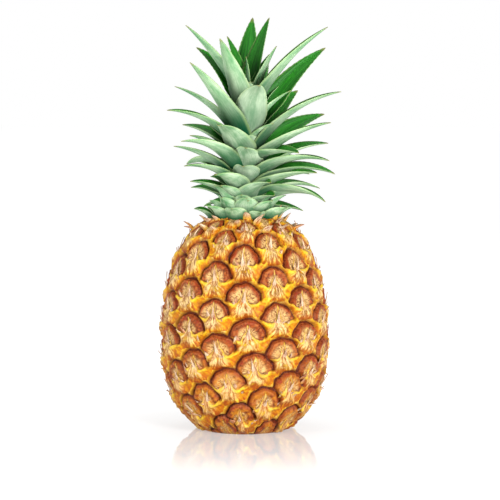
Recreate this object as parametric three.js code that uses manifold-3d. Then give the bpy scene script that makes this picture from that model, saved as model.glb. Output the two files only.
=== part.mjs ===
// A whole pineapple standing on its cut base, in millimetres, +Z up.
// The origin is the centre of the flat base. The front, -Y, is the side that the eyes are counted from.
// Three solids: the fruit with its eyes and bract tips, the stalk's cut end, and the leafy crown.
import * as THREE from "three";
import { mergeVertices } from "three/addons/utils/BufferGeometryUtils.js";
import Module from "manifold-3d";

const wasm = await Module();
wasm.setup();

const DEG = Math.PI / 180;
const GAP = 0.3; // left between two solids that touch

// Fruit body: a barrel, widest a little below its middle
const FRUIT_RADIUS = 65;
const WIDEST_Z = 70;
const FRUIT_TOP_Z = 172;
const VIRTUAL_BOTTOM_Z = -8; // where the barrel would close if its base weren't flat
const BARREL_POWER = 2.2;
const TOP_FULLNESS = 0.37; // lower is fuller
const BOTTOM_FULLNESS = 0.42;
const SEAT_RADIUS = 15; // flat spot on top that carries the crown
const SEAT_Z = FRUIT_TOP_Z - 1;
const OUTLINE_STEPS = 400;
const OUTLINE_CROWDING = 1.6; // above 1 the outline's points crowd towards the top

// Eyes: each takes the same area of skin, and turns by the same angle from the last
const EYE_AREA = 680;
const FULL_EYE_RADIUS = 52; // nearer the crown than this the eyes shrink
const SMALLEST_EYE_RADIUS = 8; // and no further than here
const EYE_TURN = 202.5; // degrees; every 16th eye stands in one column
const EYE_DRIFT = 0.005; // degrees, the slow twist of the columns, times the square of the count
const DRIFT_FROM = 8; // eyes below the front eye, where the drift turns round
const FRONT_EYE = 25; // this eye faces the front
const FRONT_EYE_Z = 136;
const RIGHT_STEP = 9; // the next eye down to the right is 9 eyes on
const LEFT_STEP = 7; // and the next down to the left 7
const COLUMN_STEP = RIGHT_STEP + LEFT_STEP;

// Relief of one eye, as heights above the mean skin
const GROOVE = -2.0;
const CORNER = -0.9; // where three eyes meet
const CAP_RIM = 1.6;
const CAP_FACE = 1.2;
const CAP_CENTRE = 0.8;
const BRACT_RIM = 1.1;
const BRACT_BULGE = 2.4;
const RIM_AT_CORNER = 0.77; // the round cap's share of the way to a corner of the cell
const RIM_AT_SIDE = 0.88;
const INNER_RING = 0.42;

// Bract tips: one dry point over each eye
const TIP_WIDTH = 10;
const TIP_ROOT_DROP = 8; // below the eye's centre
const TIP_REACH = 9; // above it
const TIP_LIFT = 2.8;
const TIP_SINK = 1.5;
const TIP_UNLIKE = { reach: 1, lift: 0.6, sideways: 2 }; // how far one tip may differ from the next
const COLLAR_EYES = 8; // the topmost eyes carry longer, more upright tips
const COLLAR_REACH = 7;
const COLLAR_LIFT = 10;

// Foot: a plain core that fills the lowest eyes, so that the fruit rests on a flat round
const FOOT_HEIGHT = 24;
const FOOT_INSET = 2;
const FOOT_SIDES = 24;
const FOOT_RINGS = 5;
const FOOT_CROWDING = 1.5; // above 1 the rings crowd towards the base

// Stalk: cut off flush with the base
const STALK_RADIUS = 11.5;
const STALK_DEPTH = 14;
const STALK_TAPER = 0.94;
const STALK_SIDES = 16;

// Crown: a short stem with leaves at the golden angle, each leaf a channelled blade
const LEAVES = 74;
const LEAF_TURN = 137.508;
const FRONT_LEAF = 8; // this leaf faces the front
const STEM_BOTTOM_Z = SEAT_Z;
const STEM_HEIGHT = 98;
const STEM_RADIUS = [13, 4]; // bottom, top
const STEM_SIDES = 10;
const CROWN_LEAN = 2; // degrees, towards +X
const LEAF_STEPS = 40; // along a leaf's bent line
const LEAF_STATIONS = [0, 0.3, 0.6, 0.85]; // where it has a section
const LOWEST_ROOT = 2.5; // above the stem's bottom
const TOPMOST_ROOT = 5; // below its top
const ROOT_POWER = 1.3; // above 1 the roots crowd towards the stem's bottom
const ROOT_SINK = 0.75; // the root's share of the stem's radius
const LEAF_THICK = [2.0, 1.0]; // at the middle of the root, near the tip
const LEAF_EDGE = 0.7;
const DROOP_POWER = 0.9; // 1 bends evenly, lower bends more near the root
const CHANNEL = 0.2; // how far the edges stand above the middle, as a share of the width
const ROOT_WIDTH = 0.65; // share of the full width at the root
const WIDENING = 1.2; // how fast a leaf reaches its full width
const POINT_POWER = [1.9, 0.9]; // how the edges close in to the point
const FACING_BY = 0.4; // share of the length by which the face has turned
const LEAF_UNLIKE = { turn: 4, rise: 4, length: 0.08, width: 0.06, droop: 0.25 };
const SHORTEST_EDGE = 0.02; // anything finer is left out of the joined crown

// Leaf measures from the lowest leaf, 0, to the innermost, 1
const LEAF_LENGTH = [[0, 34], [0.08, 46], [0.25, 60], [0.5, 74], [0.8, 86], [0.88, 78], [0.93, 46], [1, 32]];
const LEAF_WIDTH = [[0, 18], [0.12, 21], [0.4, 25], [0.85, 25], [1, 18]];
const LEAF_RISE = [[0, 34], [0.08, 46], [0.25, 60], [0.5, 66], [0.75, 74], [1, 90]];
const LEAF_DROOP = [[0, 44], [0.08, 52], [0.25, 58], [0.5, 60], [0.75, 50], [1, 10]];

// Leaves set by the photo: leaf number, then [degrees from its place in the spiral, length, rise at the root],
// and where they aren't the common ones width, droop and the turn of the face about the blade's line
const SEEN_LEAVES = {
  0: [25, 21, 45, 25], 1: [-10, 40, 18], 2: [-25, 35, 32], 3: [3, 33, 48, 22], 5: [15, 30, 64, 22],
  6: [-1, 50, 42], 7: [12, 48, 38], 8: [28, 39, 63, 26], 9: [-25, 60, 46], 10: [2, 40, 49],
  11: [10, 65, 36], 13: [2, 46, 57, 24], 14: [12, 55, 56], 15: [-13, 34, 58], 16: [30, 67, 38, 24, 40],
  18: [-2, 52, 60], 19: [2, 70, 51], 20: [21, 48, 54], 21: [8, 34, 68, 26], 22: [1, 48, 58],
  23: [2, 61, 56], 24: [24, 70, 50], 26: [-9, 68, 66], 27: [1, 66, 53], 28: [1, 58, 39],
  29: [-9, 41, 64, 27], 31: [-1, 51, 65], 32: [2, 78, 52, 26, 40], 34: [5, 72, 62, 31],
  35: [1, 75, 56, 24, 40, 40], 36: [2, 60, 62], 37: [12, 58, 28, 26, 35], 39: [-3, 80, 62],
  40: [-3, 89, 67], 41: [2, 62, 53], 42: [2, 24, 74], 43: [-8, 66, 66, 26, 30, 40], 44: [3, 76, 71],
  45: [3, 30, 70, 16], 46: [-6, 89, 72], 47: [-5, 91, 62, 26, 30], 48: [12, 99, 71, 24, 35, 45],
  49: [2, 58, 80, 22], 50: [-7, 69, 73, 30], 51: [14, 91, 79], 52: [3, 44, 84, 20], 53: [4, 47, 71, 14],
  54: [-3, 66, 80, 22], 55: [-8, 88, 68, 27, 25], 56: [0, 42, 76, 20], 57: [-5, 78, 85, 22, 51, -35],
  58: [-20, 36, 84], 59: [6, 100, 68, 26, 15], 60: [-2, 58, 85, 14], 61: [-13, 94, 69, 29],
  62: [-9, 72, 83, 17], 63: [-4, 30, 84], 64: [1, 50, 80, 16], 65: [3, 84, 67, 26], 66: [1, 55, 84, 12],
  67: [-4, 34, 86, 14], 68: [4, 18, 84, 14], 69: [4, 42, 84, 14], 70: [-3, 30, 84, 14],
  71: [-4, 15, 84, 12], 72: [-21, 67, 80, 24, 12], 73: [3, 31, 93, 10],
};

// The value at t of a line through [place, value] knots.
function along(knots, t) {
  const next = knots.findIndex(([place]) => place >= t);
  if (next <= 0) return knots[0][1];
  const [t0, v0] = knots[next - 1];
  const [t1, v1] = knots[next];
  return v0 + ((v1 - v0) * (t - t0)) / (t1 - t0);
}

// A repeatable draw from -1 to 1 for item n; salt keeps its several draws apart.
function draw(n, salt) {
  const s = Math.sin(n * 12.9898 + salt * 78.233) * 43758.5453;
  return 2 * (s - Math.floor(s)) - 1;
}

// A closed solid from points and triangles.
function solid(points, triangles) {
  const geometry = new THREE.BufferGeometry().setFromPoints(points);
  geometry.setIndex(triangles.flat());
  return solidOf(geometry);
}

function solidOf(geometry) {
  const bare = geometry.clone();
  bare.deleteAttribute("normal");
  bare.deleteAttribute("uv");
  const merged = mergeVertices(bare, 1e-4);
  return new wasm.Manifold(
    new wasm.Mesh({
      numProp: 3,
      vertProperties: new Float32Array(merged.attributes.position.array),
      triVerts: new Uint32Array(merged.index.array),
    }),
  );
}

function geometryOf(made) {
  const mesh = made.getMesh();
  const geometry = new THREE.BufferGeometry();
  geometry.setAttribute("position", new THREE.BufferAttribute(mesh.vertProperties, 3));
  geometry.setIndex(new THREE.BufferAttribute(mesh.triVerts, 1));
  geometry.computeVertexNormals();
  return geometry;
}

// The barrel's radius at a height.
function barrelRadius(z) {
  const up = z > WIDEST_Z;
  const reach = up ? FRUIT_TOP_Z - WIDEST_Z : WIDEST_Z - VIRTUAL_BOTTOM_Z;
  const share = Math.min(1, Math.abs(z - WIDEST_Z) / reach);
  return FRUIT_RADIUS * (1 - share ** BARREL_POWER) ** (up ? TOP_FULLNESS : BOTTOM_FULLNESS);
}

// The skin's outline from the top pole to the base's centre, with the eyes it has swept.
function makeOutline() {
  const points = [[0, SEAT_Z]];
  for (let i = 0; i <= OUTLINE_STEPS; i++) {
    const z = SEAT_Z * (1 - (i / OUTLINE_STEPS) ** OUTLINE_CROWDING);
    const r = barrelRadius(z);
    if (r > SEAT_RADIUS) points.push([r, z]);
  }
  points.push([0, 0]);
  let swept = 0;
  return points.map(([r, z], i) => {
    if (i > 0) {
      const [r0, z0] = points[i - 1];
      const mean = (r + r0) / 2;
      const isTop = (z + z0) / 2 > WIDEST_Z;
      const shrink = isTop ? Math.min(1, Math.max(SMALLEST_EYE_RADIUS, mean) / FULL_EYE_RADIUS) ** 2 : 1;
      swept += (2 * Math.PI * mean * Math.hypot(r - r0, z - z0)) / (EYE_AREA * shrink);
    }
    return { r, z, swept };
  });
}

const outline = makeOutline();
const baseEdge = outline.length - 2;
const frontPlace = outline.find((p) => p.r > SEAT_RADIUS && p.z <= FRONT_EYE_Z);
const firstSwept = frontPlace.swept - FRONT_EYE; // where eye 0 lies
const eyeCount = Math.floor(outline[baseEdge].swept - firstSwept);

// The place on the skin that lies `height` above it, at an angle and an eye count.
function skinPoint(angle, count, height) {
  const swept = count + firstSwept;
  let i = outline.findIndex((p) => p.swept >= swept);
  if (i < 1) i = i === 0 ? 1 : outline.length - 1;
  const low = outline[i - 1];
  const high = outline[i];
  const share = Math.min(1, Math.max(0, (swept - low.swept) / (high.swept - low.swept)));
  const flat = i === 1 || i > baseEdge;
  // On the flat spots the area grows with the square of the radius.
  const r = flat
    ? Math.sqrt(low.r ** 2 + (high.r ** 2 - low.r ** 2) * share)
    : low.r + (high.r - low.r) * share;
  const z = low.z + (high.z - low.z) * share;
  const length = Math.hypot(high.r - low.r, high.z - low.z);
  const out = flat ? 0 : height;
  const outR = r + (out * (low.z - high.z)) / length;
  const outZ = Math.max(0, z + (out * (high.r - low.r)) / length);
  return new THREE.Vector3(outR * Math.sin(angle * DEG), -outR * Math.cos(angle * DEG), outZ);
}

// The angle of eye n, which may be a fraction between two eyes of one column.
function eyeAngle(n) {
  const from = n - FRONT_EYE;
  return EYE_TURN * from + EYE_DRIFT * (from - DRIFT_FROM) ** 2;
}

// Six corners and six side middles round eye n, clockwise from the top, as steps to the eyes that share them.
const AROUND = [
  [-COLUMN_STEP],
  [-COLUMN_STEP, -LEFT_STEP],
  [-LEFT_STEP],
  [-LEFT_STEP, RIGHT_STEP],
  [RIGHT_STEP],
  [RIGHT_STEP, COLUMN_STEP],
  [COLUMN_STEP],
  [COLUMN_STEP, LEFT_STEP],
  [LEFT_STEP],
  [LEFT_STEP, -RIGHT_STEP],
  [-RIGHT_STEP],
  [-RIGHT_STEP, -COLUMN_STEP],
];

// The angle of eye n + step seen from eye n, taken the short way round.
function turnTo(n, step) {
  const turn = eyeAngle(n + step) - eyeAngle(n);
  return turn - 360 * Math.round(turn / 360);
}

// A point of eye n's cell, `share` of the way from its centre to the border place between the eyes at `steps`.
function cellPlace(n, steps, share, height) {
  const parts = steps.length + 1;
  const turn = steps.reduce((sum, step) => sum + turnTo(n, step), 0) / parts;
  const count = steps.reduce((sum, step) => sum + step, 0) / parts;
  return skinPoint(eyeAngle(n) + turn * share, n + count * share, height);
}

// The fruit's skin: each eye is a ring of rings, and neighbours share the places on their border.
function makeSkin() {
  const points = [];
  const shared = new Map();
  const triangles = [];
  const add = (point) => points.push(point) - 1;
  const borderPlace = (n, steps) => {
    const key = [n, ...steps.map((step) => n + step)].sort((a, b) => a - b).join();
    if (!shared.has(key)) {
      shared.set(key, add(cellPlace(n, steps, 1, steps.length > 1 ? CORNER : GROOVE)));
    }
    return shared.get(key);
  };
  for (let n = 0; n < eyeCount; n++) {
    const border = AROUND.map((steps) => borderPlace(n, steps));
    const rim = AROUND.map((steps, i) => {
      const isBract = i >= 4 && i <= 8;
      const share = steps.length > 1 ? RIM_AT_CORNER : RIM_AT_SIDE;
      return add(cellPlace(n, steps, share, isBract ? BRACT_RIM : CAP_RIM));
    });
    const inner = AROUND.filter((_, i) => i % 2 === 1).map((steps, i) =>
      add(cellPlace(n, steps, INNER_RING, i === 2 || i === 3 ? BRACT_BULGE : CAP_FACE)),
    );
    const centre = add(skinPoint(eyeAngle(n), n, CAP_CENTRE));
    for (let i = 0; i < 12; i++) {
      const j = (i + 1) % 12;
      triangles.push([rim[i], border[j], border[i]], [rim[i], rim[j], border[j]]);
      const near = inner[Math.floor(i / 2) % 6];
      triangles.push([near, rim[j], rim[i]]);
    }
    for (let k = 0; k < 6; k++) {
      const next = (k + 1) % 6;
      triangles.push([inner[k], inner[next], rim[(2 * k + 2) % 12]]);
      triangles.push([centre, inner[next], inner[k]]);
    }
  }
  closeEnds(points, triangles);
  return solid(points, triangles);
}

// Fans the open border at each end of the skin to its pole.
function closeEnds(points, triangles) {
  const once = new Map();
  for (const [a, b, c] of triangles) {
    for (const [from, to] of [[a, b], [b, c], [c, a]]) {
      if (!once.delete(`${to},${from}`)) once.set(`${from},${to}`, [from, to]);
    }
  }
  const top = points.push(new THREE.Vector3(0, 0, outline[0].z)) - 1;
  const base = points.push(new THREE.Vector3(0, 0, 0)) - 1;
  for (const [from, to] of once.values()) {
    triangles.push([to, from, points[from].z > WIDEST_Z ? top : base]);
  }
}

// Eye n's bract tip: a dry point that rises from the bract over the cap.
function makeTip(n) {
  const collar = Math.max(0, 1 - n / COLLAR_EYES);
  const reach = TIP_REACH + (COLLAR_REACH - TIP_REACH) * collar + TIP_UNLIKE.reach * draw(n, 1);
  const lift = TIP_LIFT + (COLLAR_LIFT - TIP_LIFT) * collar + TIP_UNLIKE.lift * draw(n, 2);
  const centre = skinPoint(eyeAngle(n), n, 0);
  const out = skinPoint(eyeAngle(n), n, 1).sub(centre).normalize();
  const up = skinPoint(eyeAngle(n), n - 1, 0).sub(skinPoint(eyeAngle(n), n + 1, 0)).normalize();
  const right = new THREE.Vector3().crossVectors(up, out);
  const place = (x, y, height) =>
    centre.clone().addScaledVector(right, x).addScaledVector(up, y).addScaledVector(out, height);
  return solid(
    [
      place(-TIP_WIDTH / 2, -TIP_ROOT_DROP, -TIP_SINK),
      place(TIP_WIDTH / 2, -TIP_ROOT_DROP, -TIP_SINK),
      place(0, -TIP_ROOT_DROP / 2, lift),
      place(TIP_UNLIKE.sideways * draw(n, 3), reach, lift),
    ],
    [[0, 1, 2], [1, 3, 2], [3, 0, 2], [0, 3, 1]],
  );
}

// The stalk's cut end, grown on every side by `grow`.
function makeStalk(grow) {
  const radius = STALK_RADIUS + grow;
  const stalk = new THREE.CylinderGeometry(radius * STALK_TAPER, radius, STALK_DEPTH + 2 * grow, STALK_SIDES);
  return stalk.rotateX(Math.PI / 2).translate(0, 0, STALK_DEPTH / 2);
}

function makeFoot() {
  const outlinePoints = [new THREE.Vector2(0, 0)];
  for (let i = 0; i <= FOOT_RINGS; i++) {
    const z = FOOT_HEIGHT * (i / FOOT_RINGS) ** FOOT_CROWDING;
    outlinePoints.push(new THREE.Vector2(barrelRadius(z) - FOOT_INSET, z));
  }
  outlinePoints.push(new THREE.Vector2(0, FOOT_HEIGHT));
  return solidOf(new THREE.LatheGeometry(outlinePoints, FOOT_SIDES).rotateX(Math.PI / 2));
}

function makeFruit() {
  const skin = makeSkin();
  const tips = [];
  const lastFreeEye = eyeCount - COLUMN_STEP; // lower tips would reach the base
  for (let n = 0; n < lastFreeEye; n++) tips.push(makeTip(n));
  return wasm.Manifold.union([skin, makeFoot(), ...tips]).subtract(solidOf(makeStalk(GAP)));
}

// Leaf k as a blade of six-sided sections along a line that rises and then droops outwards.
function makeLeaf(k) {
  const t = k / (LEAVES - 1);
  const common = [
    LEAF_UNLIKE.turn * draw(k, 9),
    along(LEAF_LENGTH, t) * (1 - LEAF_UNLIKE.length * (1 - draw(k, 4))),
    along(LEAF_RISE, t) + LEAF_UNLIKE.rise * draw(k, 6),
    along(LEAF_WIDTH, t) * (1 + LEAF_UNLIKE.width * draw(k, 5)),
    along(LEAF_DROOP, t) * (1 + LEAF_UNLIKE.droop * draw(k, 7)),
    0,
  ];
  const [turn, length, rise, width, droop, facing] = common.map((value, i) => SEEN_LEAVES[k]?.[i] ?? value);
  const angle = (k - FRONT_LEAF) * LEAF_TURN + turn;
  const outward = new THREE.Vector3(Math.sin(angle * DEG), -Math.cos(angle * DEG), 0);
  const side = new THREE.Vector3(Math.cos(angle * DEG), Math.sin(angle * DEG), 0);
  const up = new THREE.Vector3(0, 0, 1);
  const rootRadius = ROOT_SINK * (STEM_RADIUS[0] + (STEM_RADIUS[1] - STEM_RADIUS[0]) * t);
  const rootZ = STEM_BOTTOM_Z + LOWEST_ROOT + (STEM_HEIGHT - LOWEST_ROOT - TOPMOST_ROOT) * t ** ROOT_POWER;
  const line = outward.clone().multiplyScalar(rootRadius).addScaledVector(up, rootZ);
  const points = [];
  const stations = LEAF_STATIONS.map((s) => Math.round(s * LEAF_STEPS));
  for (let i = 0; i <= LEAF_STEPS; i++) {
    const s = i / LEAF_STEPS;
    const slope = (rise - droop * s ** DROOP_POWER) * DEG;
    if (i > 0) {
      line.addScaledVector(outward, (Math.cos(slope) * length) / LEAF_STEPS);
      line.addScaledVector(up, (Math.sin(slope) * length) / LEAF_STEPS);
    }
    if (i === LEAF_STEPS) points.push(line.clone());
    if (!stations.includes(i)) continue;
    const face = outward.clone().multiplyScalar(-Math.sin(slope)).addScaledVector(up, Math.cos(slope));
    const taper = (1 - s ** POINT_POWER[0]) ** POINT_POWER[1];
    const half = (width / 2) * Math.min(1, ROOT_WIDTH + WIDENING * s) * taper;
    const thick = LEAF_THICK[0] + (LEAF_THICK[1] - LEAF_THICK[0]) * s;
    const twist = facing * DEG * Math.min(1, s / FACING_BY);
    const across = side.clone().multiplyScalar(Math.cos(twist)).addScaledVector(face, Math.sin(twist));
    const out = face.clone().multiplyScalar(Math.cos(twist)).addScaledVector(side, -Math.sin(twist));
    const place = (u, height) => line.clone().addScaledVector(across, u).addScaledVector(out, height);
    const edge = CHANNEL * 2 * half;
    points.push(place(-half, edge + LEAF_EDGE / 2), place(0, thick / 2), place(half, edge + LEAF_EDGE / 2));
    points.push(place(half, edge - LEAF_EDGE / 2), place(0, -thick / 2), place(-half, edge - LEAF_EDGE / 2));
  }
  return solid(points, bladeTriangles(LEAF_STATIONS.length));
}

// Triangles of a blade: six-sided rings joined one to the next, a root cap, and a tip point, which comes last.
function bladeTriangles(rings) {
  const triangles = [[0, 1, 5], [1, 4, 5], [1, 2, 4], [2, 3, 4]];
  for (let ring = 0; ring < rings; ring++) {
    for (let i = 0; i < 6; i++) {
      const a = 6 * ring + i;
      const b = 6 * ring + ((i + 1) % 6);
      if (ring === rings - 1) triangles.push([b, a, 6 * rings]);
      else triangles.push([b, a, a + 6], [b, a + 6, b + 6]);
    }
  }
  return triangles;
}

function makeCrown() {
  const stem = new THREE.CylinderGeometry(STEM_RADIUS[1], STEM_RADIUS[0], STEM_HEIGHT, STEM_SIDES);
  stem.rotateX(Math.PI / 2).translate(0, 0, STEM_BOTTOM_Z + GAP + STEM_HEIGHT / 2);
  const leaves = [];
  for (let k = 0; k < LEAVES; k++) leaves.push(makeLeaf(k));
  // Leaves close off small hollows between them: only the outermost shell is kept, without its tiniest edges.
  const shells = wasm.Manifold.union([solidOf(stem), ...leaves]).simplify(SHORTEST_EDGE).decompose();
  const crown = geometryOf(shells.sort((a, b) => b.volume() - a.volume())[0]);
  crown.translate(0, 0, -STEM_BOTTOM_Z);
  crown.applyMatrix4(new THREE.Matrix4().makeShear(0, 0, 0, 0, Math.tan(CROWN_LEAN * DEG), 0));
  return crown.translate(0, 0, STEM_BOTTOM_Z);
}

function addNode(group, name, geometry, color, roughness) {
  const mesh = new THREE.Mesh(geometry, new THREE.MeshStandardMaterial({ color, roughness, metalness: 0 }));
  mesh.name = name;
  group.add(mesh);
}

const pineapple = new THREE.Group();
addNode(pineapple, "fruit", geometryOf(makeFruit()), 0xd08a24, 0.55);
addNode(pineapple, "stalk", makeStalk(0), 0xb9a070, 0.85);
addNode(pineapple, "crown", makeCrown(), 0x6fa070, 0.6);

export default pineapple;
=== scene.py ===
# %% [markdown]
# # A pineapple, dressed over its plain solid model
# The plain model gives the fruit, the stalk's cut end and the crown as solids. This file makes the surfaces
# that the eye sees over them: skin with its round eyes, dry bract tips, and channelled leaves with a pale
# bloom. Shapes are worked out in millimetres with numpy and put into meshes in metres.

# %% Load the plain model as a fixed frame
import math
from types import SimpleNamespace

import bpy
import numpy as np
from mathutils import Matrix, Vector


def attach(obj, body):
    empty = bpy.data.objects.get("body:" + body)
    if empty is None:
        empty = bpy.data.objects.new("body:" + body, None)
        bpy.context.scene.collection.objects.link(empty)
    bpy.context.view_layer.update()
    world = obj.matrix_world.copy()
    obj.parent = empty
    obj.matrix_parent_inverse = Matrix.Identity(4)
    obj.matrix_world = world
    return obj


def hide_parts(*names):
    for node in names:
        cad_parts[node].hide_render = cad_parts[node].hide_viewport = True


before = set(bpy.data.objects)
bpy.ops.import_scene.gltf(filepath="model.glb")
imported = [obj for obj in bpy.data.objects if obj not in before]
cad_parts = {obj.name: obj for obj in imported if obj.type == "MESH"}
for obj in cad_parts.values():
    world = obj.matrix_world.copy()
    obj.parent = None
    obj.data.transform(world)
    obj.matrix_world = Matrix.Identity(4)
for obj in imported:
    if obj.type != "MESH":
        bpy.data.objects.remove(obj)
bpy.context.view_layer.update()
MM = 0.001

# %% [markdown]
# ## Camera
# The photo looks almost level at the fruit from far away. A short lens close by would make the base look
# larger than the crown, so a long lens stands far off. The lens is picked so that one picture point is
# about 0.79 mm wide at the fruit's axis.

# %% Camera
LOOK_AT = Vector((0.0043, 0.0, 0.1422))
CAMERA_DISTANCE = 1.512
CAMERA_RISE = math.radians(4)
LENS = 137

camera_data = bpy.data.cameras.new("camera")
camera_data.lens = LENS
camera = bpy.data.objects.new("camera", camera_data)
bpy.context.collection.objects.link(camera)
camera_back = Vector((0, -math.cos(CAMERA_RISE), math.sin(CAMERA_RISE)))
camera.location = LOOK_AT + camera_back * CAMERA_DISTANCE
camera.rotation_euler = camera_back.to_track_quat("Z", "Y").to_euler()
bpy.context.scene.camera = camera
bpy.context.scene.view_settings.view_transform = "Standard"
print("camera at", [round(v, 3) for v in camera.location])

# %% [markdown]
# ## Helpers for meshes
# Every piece here is a grid of points. A ring grid closes on itself sideways, as a barrel does. The points
# and faces go into the mesh as whole arrays, which is quicker than adding them one by one, and numbers for
# the materials ride along as attributes.

# %% Mesh helpers
def ring_grid_faces(rows, columns):
    """Four-sided faces of a grid of rows x columns points, each joined to the next row and the next column,
    with the last column joined to the first."""
    row = np.arange(rows - 1)[:, None] * columns
    here = np.arange(columns)[None, :]
    there = (here + 1) % columns
    corners = (row + here, row + there, row + columns + there, row + columns + here)
    return np.stack([c.reshape(-1) for c in corners], axis=1)


def capped_rings(rings, first_end, last_end):
    """Points, four-sided faces and triangles of a closed shape: rings of points, each joined to the next,
    with a fan of triangles from the first ring to first_end and one from the last ring to last_end."""
    rows, columns = rings.shape[:2]
    points = np.concatenate([rings.reshape(-1, 3), [first_end, last_end]])
    here = np.arange(columns)
    there = (here + 1) % columns
    last_row = (rows - 1) * columns
    pole = np.full(columns, rows * columns)
    first_fan = np.stack([there, here, pole], axis=1)
    last_fan = np.stack([last_row + here, last_row + there, pole + 1], axis=1)
    return points, ring_grid_faces(rows, columns), np.concatenate([first_fan, last_fan])


def signed_volume(points, faces):
    """Six times the volume enclosed, positive where the faces point outwards: the sum over each face's two
    triangles of corner a dot (corner b cross corner c)."""
    a, b, c, d = (points[faces[:, i]] for i in range(4))
    first = np.einsum("ij,ij->i", a, np.cross(b, c))
    second = np.einsum("ij,ij->i", a, np.cross(c, d))
    return float((first + second).sum())


def add_piece(name, points_mm, quads, material, replaces=(), triangles=None):
    """Puts a closed shape of four-sided faces, and triangles where given, into a mesh that rides on the
    fruit."""
    points = np.asarray(points_mm, dtype=np.float64).reshape(-1, 3) * MM
    if signed_volume(points, quads) < 0:
        quads = quads[:, ::-1]
        if triangles is not None:
            triangles = triangles[:, ::-1]
    counts = [np.full(len(quads), 4)]
    loops = [quads.reshape(-1)]
    if triangles is not None:
        counts.append(np.full(len(triangles), 3))
        loops.append(triangles.reshape(-1))
    counts = np.concatenate(counts)
    loops = np.concatenate(loops).astype(np.int32)
    mesh = bpy.data.meshes.new(name)
    mesh.vertices.add(len(points))
    mesh.vertices.foreach_set("co", points.reshape(-1))
    mesh.loops.add(len(loops))
    mesh.loops.foreach_set("vertex_index", loops)
    mesh.polygons.add(len(counts))
    mesh.polygons.foreach_set("loop_start", np.concatenate([[0], np.cumsum(counts)[:-1]]).astype(np.int32))
    mesh.update(calc_edges=True)
    mesh.validate()
    mesh.shade_smooth()
    mesh.materials.append(material)
    piece = bpy.data.objects.new(name, mesh)
    bpy.context.collection.objects.link(piece)
    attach(piece, "root")
    if replaces:
        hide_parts(*replaces)
    triangle_count = int((counts - 2).sum())
    print(f"{name}: {len(points)} points, {triangle_count} triangles")
    return piece


def add_point_numbers(piece, name, values):
    """Stores three numbers for each point of the piece, for its material to read."""
    attribute = piece.data.attributes.new(name, "FLOAT_VECTOR", "POINT")
    attribute.data.foreach_set("vector", np.asarray(values, dtype=np.float32).reshape(-1))


def smooth_step(low, high, x):
    """0 below low, 1 above high, and a smooth rise between."""
    t = np.clip((x - low) / (high - low), 0, 1)
    return t * t * (3 - 2 * t)


def draw(n, salt):
    """A repeatable number from -1 to 1 for item n: the fraction of a large sine. The plain model's leaves
    use the same one."""
    s = np.sin(np.asarray(n) * 12.9898 + salt * 78.233) * 43758.5453
    return 2 * (s - np.floor(s)) - 1


# %% [markdown]
# ## Helpers for materials
# Materials are small sums on numbers that the mesh carries. A picture wrapped round the fruit could do the
# same, but sums stay sharp at any distance. These helpers keep each sum to one line.

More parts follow.
